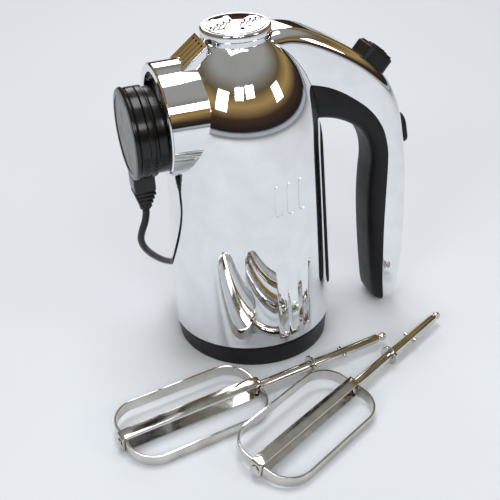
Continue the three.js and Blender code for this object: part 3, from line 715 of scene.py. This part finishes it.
@dataclass
class Body(Assembly):
    """The chrome housing with its dome, collar, crown cap and climbing strip."""

    foot_r: float = 50
    shoulder_r: float = 46.3
    foot: float = 15.5
    shoulder: float = 136
    rise: float = 66
    wall: float = 2.5
    collar_r: float = 32.7
    collar_z: float = 155.3
    collar_front: float = -49.5

    def profile(self, inset: float, foot: float) -> list[Point2]:
        """Half outline of the body, moved inwards by inset."""
        points = [(self.foot_r - inset, foot), (self.foot_r - inset, self.foot)]
        if foot == self.foot:
            points = points[:1]
        for i in range(25):
            angle = math.radians(86) * i / 24
            points.append(((self.shoulder_r - inset) * math.cos(angle),
                           self.shoulder + (self.rise - inset) * math.sin(angle)))
        return points

    def solid(self, name: str, inset: float, foot: float, front: float) -> bpy.types.Object:
        """The body and its collar as one closed solid."""
        trunk = lathe(name, self.profile(inset, foot), sides=128)
        tube = lathe("tube", [(self.collar_r - inset, front), (self.collar_r - inset, -14)], Axis.X, 96)
        return combine(trunk, move(tube, shift=(0, 0, self.collar_z)), "UNION")

    def housing(self) -> None:
        """The shell, open at the foot, the nose and the crown."""
        shell = self.solid("housing_shell", 0, self.foot, self.collar_front)
        shell = soften(shell, 0.9, 3, 28)
        inner = self.solid("inner", self.wall, self.foot - 5, self.collar_front - 5)
        shell = combine(shell, inner, "DIFFERENCE")
        crown = lathe("crown", [(14, 150), (14, 230)], sides=48)
        shell = combine(shell, crown, "DIFFERENCE")
        outlet = lathe("hole", [(4.9, 0), (4.9, 80)], Axis.Y, 32)
        shell = combine(shell, move(outlet, shift=(20, 0, 27)), "DIFFERENCE")
        self.marks(shell)
        self.place(shell, "chrome", "housing", ["housing_near", "housing_far"], degrees=30)

    def marks(self, shell: bpy.types.Object) -> None:
        """Engraves three plain outlines high on the near side and three low down."""
        depth, thick = 0.4, 6
        taper = (self.foot_r - self.shoulder_r) / (self.shoulder - self.foot)
        for height in (113, 33):
            wall = self.foot_r - taper * (height - self.foot)
            for x in (4, 12, 20):
                mark = plate("mark", oval(20, 5.2, 10), thick)
                combine(mark, plate("hole", oval(19.2, 4.4, 10), thick + 2), "DIFFERENCE")
                move(mark, (0, math.pi / 2, 0))
                face = math.sqrt(wall ** 2 - x ** 2) - depth
                move(mark, shift=(x, -face - thick / 2, height))
                combine(shell, mark, "DIFFERENCE")

    def cap(self) -> None:
        """The crown cap with its stepped edge and two groups of slanted slots."""
        top = 203.6
        disc = lathe("crown_cap", [
            (16, 194.6), (19.3, 194.4), (19.5, 194.9), (19.5, 198.6), (19.8, 199.1), (20.3, 199.4),
            (20.3, 202.3), (19.9, 203.1), (19.1, top), (18.3, top), (18, top - 0.5), (17.4, top - 0.5),
            (17, top), (0.2, top)],
            sides=96)
        for side in (-1, 1):
            for i, length in enumerate((8, 11.5, 13.5, 14.5)):
                slot = plate("slot", oval(length, 2.2, 6), 4, axis=Axis.Z)
                where = (side * (15.4 - 3.9 * i), side * (1.8 - 1.2 * i), top + 0.4)
                move(slot, (0, 0, math.radians(62)), where)
                combine(disc, slot, "DIFFERENCE")
        soften(disc, 0.3, 2, 40)
        self.place(disc, "chrome", "housing", ["vent_cap"])

    def strip(self) -> None:
        """The slotted strip that climbs from the collar to the cap."""
        low, high = (-37.5, 185.4), (-20.6, 198.2)
        run = plate("climbing_strip", [(low[0], 165.3), (high[0], 165.3), high, low], 24, 0.9, 3)
        slope = (high[1] - low[1]) / (high[0] - low[0])
        start, end, above, depth = low[0] + 3.5, high[0] - 1.5, 215, 1.8
        start_floor = low[1] + (start - low[0]) * slope - depth
        end_floor = low[1] + (end - low[0]) * slope - depth
        for i in range(4):
            slot = plate("slot", [(start, start_floor), (end, end_floor), (end, above), (start, above)], 2.2)
            combine(run, move(slot, shift=(0, (i - 1.5) * 5, 0)), "DIFFERENCE")
        inner = self.solid("inner", -0.1, self.foot, self.collar_front)
        combine(run, inner, "DIFFERENCE")
        self.place(run, "chrome", "housing", ["spine_cover"])

    def build(self) -> None:
        """Builds every piece of the body."""
        self.housing()
        self.cap()
        self.strip()


@dataclass
class Foot(Assembly):
    """The rubber heel and the black strip up the back."""

    def heel(self) -> None:
        """The wedge under the body, cut flat on the floor."""
        ring = lathe("rubber_heel", [
            (47.2, -6), (47.6, -1), (48.1, 4), (49.1, 12), (49.6, 14.4), (49.2, 15.2), (37.4, 15.2),
            (37, 14.6), (37, 5), (3, 5)], sides=128)
        move(ring, (0, -LEAN, 0))
        pick(ring)
        bpy.ops.object.mode_set(mode="EDIT")
        bpy.ops.mesh.select_all(action="SELECT")
        bpy.ops.mesh.bisect(plane_co=(0, 0, 0.00002), plane_no=(0, 0, 1), clear_inner=True, use_fill=True)
        bpy.ops.object.mode_set(mode="OBJECT")
        soften(ring, 0.5, 2, 60)
        self.place(ring, "soft_rubber", "housing", ["heel_ring"], Seat.ROOM, 40)

    def strip(self, body: Body) -> None:
        """The black strip, a skin over the body's back."""
        low, high = 20, 139.5
        outline = [(y, x + (low + high) / 2) for x, y in oval(high - low, 36, 14)]
        column = plate("back_band", outline, 60, axis=Axis.Y)
        move(column, (0, 0, math.pi / 2), (50, 0, 0))
        skin = body.solid("skin", -1.5, body.foot, body.collar_front)
        core = body.solid("core", -0.3, body.foot - 6, body.collar_front)
        combine(column, skin, "INTERSECT")
        combine(column, core, "DIFFERENCE")
        self.place(column, "soft_rubber", "housing", ["back_strip"])


# ---------------------------------------------------------------- handle


@dataclass
class Handle(Assembly):
    """The closed handle: a chrome shell outside, a soft grip on the finger side, and its two keys."""

    width: float = 30
    rounding: float = 8

    OUTER = (
        (14, 198.4), (25.4, 199.4), (37.2, 196.8), (46.8, 192.5), (56.6, 187.1), (66.7, 180.6),
        (75.8, 173.6), (84.2, 165.6), (90.4, 157.8), (94.8, 149.8), (98, 141.4), (100.6, 131),
        (102.8, 117), (104.3, 103), (105.1, 88), (105.3, 66), (104.8, 44), (103.2, 22), (101.6, 8),
    )
    TIP = (
        (101.6, 8), (99.8, 2), (96.2, -1.4), (91.6, -2.4), (87, -1), (83.8, 3), (82.4, 10),
    )
    INNER = (
        (82.4, 10), (80.8, 30), (79.4, 55), (79, 75), (79.8, 92), (80.8, 104), (79.6, 115),
        (75.4, 124.6), (69, 131.4), (60.5, 136.6), (51.9, 139.8), (42, 141.6),
    )
    SEAM = (
        (24, 168.6), (44, 163.5), (55.6, 158.4), (65.9, 151.4), (75.2, 143.4), (81.9, 134.9),
        (86.4, 125.6), (88.9, 114.3), (89.3, 104), (88.7, 86.6), (87.8, 61), (87.6, 40), (87.6, 20),
        (88.6, 4), (90.6, -9),
    )

    def outline(self) -> list[Point2]:
        """The handle seen from the side."""
        return [(2, 158), (2, 190), *curve_through(self.OUTER, 60), *curve_through(self.TIP, 18)[1:],
                *curve_through(self.INNER, 40)[1:], (20, 143.5)]

    def grip_side(self, shift: float) -> list[Point2]:
        """The finger side of the seam as a closed outline, its seam moved by shift."""
        seam = curve_through(self.SEAM, 50)
        moved = []
        for i, (x, z) in enumerate(seam):
            ax, az = seam[max(i - 1, 0)]
            bx, bz = seam[min(i + 1, len(seam) - 1)]
            length = math.hypot(bx - ax, bz - az)
            moved.append((x - shift * (bz - az) / length, z + shift * (bx - ax) / length))
        return [*moved, (60, -20), (10, -20), (10, 168.6 + shift)]

    def build(self, body: Body) -> None:
        """Builds the shell and the grip from one solid cut along the seam."""
        whole = plate("handle", self.outline(), self.width, self.rounding, 8)
        combine(whole, body.solid("clear", -0.15, body.foot, body.collar_front), "DIFFERENCE")
        combine(whole, lathe("clear", [(20.5, 170), (20.5, 230)], sides=96), "DIFFERENCE")
        grip = copied(whole, "grip")
        combine(grip, plate("side", self.grip_side(0), 60), "INTERSECT")
        shell = combine(whole, plate("side", self.grip_side(0.35), 60), "DIFFERENCE")
        shell.name = "handle_chrome"
        grip.name = "handle_soft_grip"
        for part, finish, node in ((shell, "chrome", "handle_shell"), (grip, "soft_rubber", "handle_grip")):
            soften(part, 0.35, 2, 50)
            self.place(part, finish, "housing", [node], degrees=30)
        self.keys()

    def keys(self) -> None:
        """The stepped release key and the oval speed slider."""
        lower = plate("release_key", rounded_box(9.5, 10, 4, 4), 15, 1.4, 4, Axis.Z)
        move(lower, shift=(0, 0, 0.5))
        waist = plate("waist", rounded_box(8.3, 8.8, 3.4, 3.4), 1.4, 0.6, 3, Axis.Z)
        move(waist, shift=(0, 0, 8.3))
        pad = plate("pad", oval(14, 10.6, 12), 2, 0.8, 4, Axis.Z)
        move(pad, shift=(0.6, 0, 8.7))
        for i in range(3):
            rib = plate("rib", oval(7, 0.9, 6), 0.8, 0.3, 2, Axis.Z)
            move(rib, (0, 0, math.pi / 2), (0.6 + (i - 1) * 2.6, 0, 9.7))
            combine(pad, rib, "UNION")
        combine(lower, waist, "UNION")
        combine(lower, pad, "UNION")
        key = move(lower, (0, math.radians(41), 0), (82, 0, 167.7))
        self.place(key, "soft_rubber", "eject_key", ["eject_button"], degrees=40)

        knob = plate("speed_knob", oval(20, 12, 14), 4, 1.5, 5, Axis.Z)
        move(knob, shift=(0, 0, 2.9))
        for i in range(5):
            rib = plate("rib", oval(6.4 - 0.8 * abs(i - 2), 0.9, 6), 1, 0.3, 2, Axis.Z)
            move(rib, (0, 0, math.pi / 2), ((i - 2) * 2.4, 0, 4.8))
            combine(knob, rib, "UNION")
        combine(knob, brick("neck", (-3, -2, -8), (3, 2, 2), 0), "UNION")
        slider = move(knob, (0, math.radians(81), 0), (102.6, 0, 119))
        self.place(slider, "soft_rubber", "speed_knob", ["speed_slider"], degrees=40)


# ---------------------------------------------------------------- nose, plug and cord


@dataclass
class Nose(Assembly):
    """The bezel of the collar and the parked mains plug with its cord.

    Attributes:
        collar_z: Height of the collar's axis.
        plug_z: Height of the plug's axis.
        cord_r: Radius of the cord.
        lead: The cord, once it is made.
        length: Its length in metres.
    """

    collar_z: float = 155.3
    plug_z: float = 150.3
    cord_r: float = 2.2
    lead: bpy.types.Object | None = None
    length: float = 0

    ROUTE = (
        (20, 51.6, 27), (19.4, 57.2, 27), (15.4, 63, 27), (8, 68, 26.8), (-2, 69.2, 26.4),
        (-13.4, 65.2, 26), (-24, 58.2, 26.4), (-33, 49.6, 29), (-40.8, 40.2, 34.6), (-47.8, 30.8, 42.6),
        (-54.6, 21.8, 52), (-60.8, 14, 61.8), (-65.2, 8.2, 70.8), (-67, 4.4, 78.6), (-66.2, 1.9, 85.4),
        (-64.2, 0.5, 91.6), (-62.9, 0.1, 97.2), (-62.7, 0, 100.8),
    )

    def leaned(self, point: Point3) -> Vector:
        """A point of the upright mixer in the leaning one, in metres."""
        x, y, z = (MM * value for value in point)
        return Vector((math.cos(LEAN) * x - math.sin(LEAN) * z, y, math.sin(LEAN) * x + math.cos(LEAN) * z))

    def cord(self) -> None:
        """The free stretch of mains cord, from the outlet in the foot to the plug."""
        points = [self.leaned(point) for point in curve_through(self.ROUTE, 240)]
        curve = bpy.data.curves.new("mains_lead", "CURVE")
        curve.dimensions = "3D"
        curve.bevel_depth = self.cord_r * MM
        curve.bevel_resolution = 6
        curve.use_fill_caps = True
        line = curve.splines.new("POLY")
        line.points.add(len(points) - 1)
        for bead, point in zip(line.points, points):
            bead.co = (*point, 1)
        lead = bpy.data.objects.new("mains_lead", curve)
        bpy.context.collection.objects.link(lead)
        bpy.context.view_layer.update()
        length = sum((a - b).length for a, b in zip(points, points[1:]))
        self.shop.dress(lead, "black_plastic")
        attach(lead, "housing")
        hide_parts("mains_cord")
        self.lead = lead
        self.length = length

    def plug(self) -> None:
        """The round plug's cover and base, with the lip, grooves and recessed neck."""
        face, split, neck, back = -69.5, -61, -56, -50.9
        cover = lathe("plug_cap", [
            (0.3, face + 0.5), (14, face + 0.5), (22.3, face + 0.45), (22.9, face), (24.6, face),
            (26.2, face + 0.35), (26.9, face + 1.3), (27, face + 2.2), (26.2, face + 2.8),
            (25.9, face + 3.3), (26.3, face + 3.9),
            (26.4, -61.6), (26.1, split - 0.15), (0.3, split - 0.15)], Axis.X, 96)
        cover = move(cover, shift=(0, 0, self.plug_z))
        self.place(cover, "black_plastic", "housing", ["plug_cover"])
        base = lathe("plug_body", [
            (0.3, split + 0.15), (26, split + 0.15), (26.3, -60.4), (26.3, -58.6), (25.9, -58.3),
            (25.9, -57.9), (26.3, -57.6), (26.2, -56.6), (25.6, neck), (25, neck + 0.4),
            (25, back + 0.4), (24.6, back),
            (0.3, back)], Axis.X, 96)
        base = move(base, shift=(0, 0, self.plug_z))
        self.place(base, "black_plastic", "housing", ["plug_base"])

    def relief(self) -> bpy.types.Object:
        """The boss under the plug and the four ribs that taper to the cord."""
        outline = [(-6.4, 8), (-6.4, -12.8), (-5.4, -14), (5.4, -14), (6.4, -12.8), (6.4, 8)]
        boss = plate("strain_relief_boot", outline, 14, 1.2, 4)
        for i in range(4):
            half = 6.2 - 0.9 * i
            z = -15.5 - 2.9 * i
            rib = brick("rib", (-half, -half, z - 1), (half, half, z + 1), 0.5)
            combine(boss, rib, "UNION")
        stem = lathe("stem", [(3.4, -26.4), (3.6, -25), (4.8, -13)], sides=32)
        combine(boss, stem, "UNION")
        move(boss, shift=(-62.75, 0, self.plug_z - 22))
        drum = lathe("clear", [(27.1, -90), (27.1, 0)], Axis.X, 96)
        combine(boss, move(drum, shift=(0, 0, self.plug_z)), "DIFFERENCE")
        return self.place(boss, "black_plastic", "housing", ["strain_relief"], degrees=36)

    def bezel(self) -> None:
        """The bright ring on the front of the collar."""
        front = -50.5
        ring = lathe("collar_bezel", [
            (27.5, front + 0.5), (28, front), (31.8, front), (32.6, front + 0.6), (32.7, -49.7),
            (29.9, -49.7), (29.9, -43.6), (27.4, -43.6)], Axis.X, 96, ring=True)
        self.place(move(ring, shift=(0, 0, self.collar_z)), "chrome", "housing", ["nose_bezel"])

    def outlet(self) -> None:
        """The rubber bush where the cord leaves the foot."""
        bush = lathe("cord_bush", [
            (2.6, 38.6), (4.5, 38.6), (4.5, 49), (6.5, 49), (6.5, 49.6), (5.6, 50.9), (3, 50.9), (2.6, 50.5)],
            Axis.Y, 40, ring=True)
        self.place(move(bush, shift=(20, 0, 27)), "soft_rubber", "housing", ["cord_outlet"])

    def build(self) -> None:
        self.plug()
        boot = self.relief()
        self.bezel()
        self.outlet()


# ---------------------------------------------------------------- beaters


@dataclass
class Beater(Assembly):
    """One beater: a shaft, a washer and two strip loops held by a rivet."""

    label: str = "a"
    tip: Point2 = (0, 0)
    heading: float = 0
    roll: float = 0
    length: float = 183
    head: float = 92
    wide: float = 47
    narrow: float = 11.6
    strip: float = 7
    metal: float = 1.2
    shaft_r: float = 2.9

    def lay(self, piece: bpy.types.Object, part: str) -> None:
        """Lays a piece drawn along X on the floor and puts it on its body."""
        roll = math.radians(self.roll)
        height = (self.wide * math.sin(roll) + self.strip * math.cos(roll)) / 2
        move(piece, (-roll, 0, 0))
        move(piece, (0, 0, math.radians(self.heading)), (*self.tip, height))
        piece.name = f"whisk_{self.label}_{part}"
        body = f"beater_{self.label}"
        self.place(piece, "beater_steel", body, [f"{body}_{part}"], Seat.ROOM, 34)

    def loop(self, start: float, end: float, width: float, corner: Point2, upright: bool) -> bpy.types.Object:
        """A closed strip loop between two stations, with its strip's edges eased."""
        half = ((end - start) / 2, width / 2)
        outer = plate("loop", rounded_box(*half, *corner), self.strip, 0.25, 2, Axis.Z)
        inner_half = (half[0] - self.metal, half[1] - self.metal)
        inner_corner = (max(corner[0] - self.metal, 0.3), max(corner[1] - self.metal, 0.3))
        inner = plate("inner", rounded_box(*inner_half, *inner_corner), self.strip + 4, axis=Axis.Z)
        combine(outer, inner, "DIFFERENCE")
        move(outer, shift=((start + end) / 2, 0, 0))
        return move(outer, (math.pi / 2, 0, 0)) if upright else outer

    def bored(self, loop: bpy.types.Object) -> bpy.types.Object:
        """Drills a loop for the shaft and the rivet."""
        for r, start, end in ((self.shaft_r + 0.3, self.head - 5, self.head + 8),
                              (1.8, self.length - 8, self.length + 8)):
            combine(loop, lathe("drill", [(r, start), (r, end)], Axis.X, 24), "DIFFERENCE")
        return loop

    def build(self) -> None:
        """Builds the five pieces of the beater."""
        gap = 0.3
        neck = self.head + 2 * self.metal + 1
        shaft = lathe("shaft", [
            (0.4, -2.6), (1.4, -2.3), (2.1, -1.6), (2.55, -0.5), (2.6, 0.2), (2.2, 1.2), (1.7, 2.2),
            (1.7, 3.2),
            (2.4, 3.8), (2.9, 4.8), (2.9, neck - 0.2), (4, neck + 0.3), (3.8, neck + 1.4), (2.4, neck + 1.9)],
            Axis.X, 40)
        ear = lathe("ears", [(1.1, -4.7), (1.45, -4.3), (1.5, 4.3), (1.1, 4.7)], Axis.Y, 24)
        combine(shaft, move(ear, shift=(31, 0, 0)), "UNION")
        self.lay(shaft, "shaft")
        washer = lathe("washer", [(3.2, 54.1), (5.6, 54.1), (6, 54.5), (6, 55.3), (5.6, 55.7), (3.2, 55.7)],
                       Axis.X, 48, ring=True)
        self.lay(washer, "washer")
        inner_start, inner_end = self.head + self.metal + gap, self.length - self.metal - gap
        self.lay(self.bored(self.loop(inner_start, inner_end, self.wide, (17, 16), False)), "wide_loop")
        self.lay(self.bored(self.loop(self.head, self.length, self.narrow, (8, 1.6), True)), "narrow_loop")
        end = self.length
        rivet = lathe("rivet", [
            (2.4, inner_end - self.metal - 1.2), (2.6, inner_end - self.metal - 0.9),
            (2.6, inner_end - self.metal - 0.3), (1.5, inner_end - self.metal - 0.28), (1.5, end + 0.28),
            (2.6, end + 0.3), (2.4, end + 0.8), (1.5, end + 1.15), (0.3, end + 1.2)], Axis.X, 32)
        self.lay(rivet, "rivet")


# ---------------------------------------------------------------- room


@dataclass
class Room:
    """The floor, the light and the camera."""

    lens: float = 68.4
    distance: float = 0.605
    azimuth: float = -19.64
    elevation: float = 31.15
    roll: float = -1.08
    target: Point3 = (-0.0012, 0, 0.05524)

    def camera(self) -> None:
        """Sets the camera at its angle."""
        data = bpy.data.cameras.new("camera")
        data.lens = self.lens
        data.sensor_width = 36
        data.clip_start = 0.01
        eye = bpy.data.objects.new("camera", data)
        bpy.context.scene.collection.objects.link(eye)
        a, e = math.radians(self.azimuth), math.radians(self.elevation)
        back = Vector((math.sin(a) * math.cos(e), -math.cos(a) * math.cos(e), math.sin(e)))
        eye.rotation_euler = back.to_track_quat("Z", "Y").to_matrix().to_euler()
        eye.rotation_euler.rotate_axis("Z", math.radians(self.roll))
        eye.location = Vector(self.target) + self.distance * back
        bpy.context.scene.camera = eye

    def floor(self) -> None:
        """A wide pale floor, slightly cool."""
        deselect()
        bpy.ops.mesh.primitive_circle_add(vertices=96, radius=4, fill_type="NGON", location=(0, 0, -0.0004))
        ground = named("floor")
        material = bpy.data.materials.new("floor")
        material.use_nodes = True
        tree = material.node_tree
        shader = tree.nodes["Principled BSDF"]
        shader.inputs["Roughness"].default_value = 0.75
        tint = add_node(tree, "ShaderNodeMix", data_type="RGBA")
        tint.inputs[6].default_value = (0.8, 0.85, 0.93, 1)
        tint.inputs[7].default_value = (0.83, 0.88, 0.95, 1)
        tree.links.new(noise(tree, 3, 2), tint.inputs["Factor"])
        tree.links.new(tint.outputs[2], shader.inputs["Base Color"])
        ground.data.materials.append(material)

    def light(self) -> None:
        """A dim warm room with large soft lamps over the floor."""
        world = bpy.data.worlds.new("room")
        bpy.context.scene.world = world
        world.use_nodes = True
        tree = world.node_tree
        background = tree.nodes["Background"]
        place = tree.nodes.new("ShaderNodeTexCoord")
        split = tree.nodes.new("ShaderNodeSeparateXYZ")
        ramp = tree.nodes.new("ShaderNodeValToRGB")
        tree.links.new(place.outputs["Generated"], split.inputs["Vector"])
        tree.links.new(split.outputs["Z"], ramp.inputs["Fac"])
        stops = ((0.0, (0.5, 0.55, 0.62, 1)), (0.03, (0.02, 0.015, 0.015, 1)), (0.2, (0.07, 0.04, 0.025, 1)),
                 (0.38, (0.5, 0.33, 0.12, 1)), (0.55, (0.16, 0.12, 0.06, 1)), (0.8, (0.42, 0.42, 0.4, 1)))
        while len(ramp.color_ramp.elements) < len(stops):
            ramp.color_ramp.elements.new(0.5)
        for element, (position, colour) in zip(ramp.color_ramp.elements, stops):
            element.position = position
            element.color = colour
        tree.links.new(ramp.outputs["Color"], background.inputs["Color"])
        background.inputs["Strength"].default_value = 0.8
        lamps = (
            ("lamp_over", (0.0, 0.3, 1.9), 0.9, 15, (0.97, 0.98, 1.0)),
            ("lamp_left", (-1.3, -1.1, 1.0), 0.6, 6, (0.95, 0.97, 1.0)),
            ("lamp_window", (-0.55, -1.5, 1.25), 0.42, 5, (0.97, 0.99, 1.0)),
            ("lamp_pane", (0.0, -1.6, 1.3), 0.42, 5, (0.97, 0.99, 1.0)),
            ("lamp_right", (1.4, -1.2, 1.0), 0.5, 4, (1.0, 0.96, 0.9)),
            ("lamp_back", (0.5, 1.6, 1.0), 0.8, 6, (0.97, 0.98, 1.0)),
        )
        for name, where, size, power, colour in lamps:
            data = bpy.data.lights.new(name, "AREA")
            data.size = size
            data.energy = power
            data.color = colour
            lamp = bpy.data.objects.new(name, data)
            bpy.context.scene.collection.objects.link(lamp)
            lamp.location = where
            aim = Vector((0, 0, 0.08)) - Vector(where)
            lamp.rotation_euler = aim.to_track_quat("-Z", "Y").to_euler()

    def build(self) -> None:
        """Builds the room."""
        self.camera()
        self.floor()
        self.light()
        bpy.context.scene.view_settings.view_transform = "Standard"


def main() -> None:
    """Builds the room, then the mixer from its foot to its handle, then the beaters."""
    logging.basicConfig(level=logging.INFO, format="%(name)s: %(message)s")
    Room().build()
    shop = Paintshop()
    nose = Nose(shop)
    nose.cord()
    shop.dress_nodes()
    body = Body(shop)
    body.build()
    foot = Foot(shop)
    foot.heel()
    foot.strip(body)
    Handle(shop).build(body)
    nose.build()
    Beater(shop, "a", (67.7, -54.5), 191.2, math.degrees(math.atan2(11.6 - 7, 47 - 7))).build()
    Beater(shop, "b", (110, -48.5), 209.2, 9.6).build()


if __name__ == "__main__":
    main()
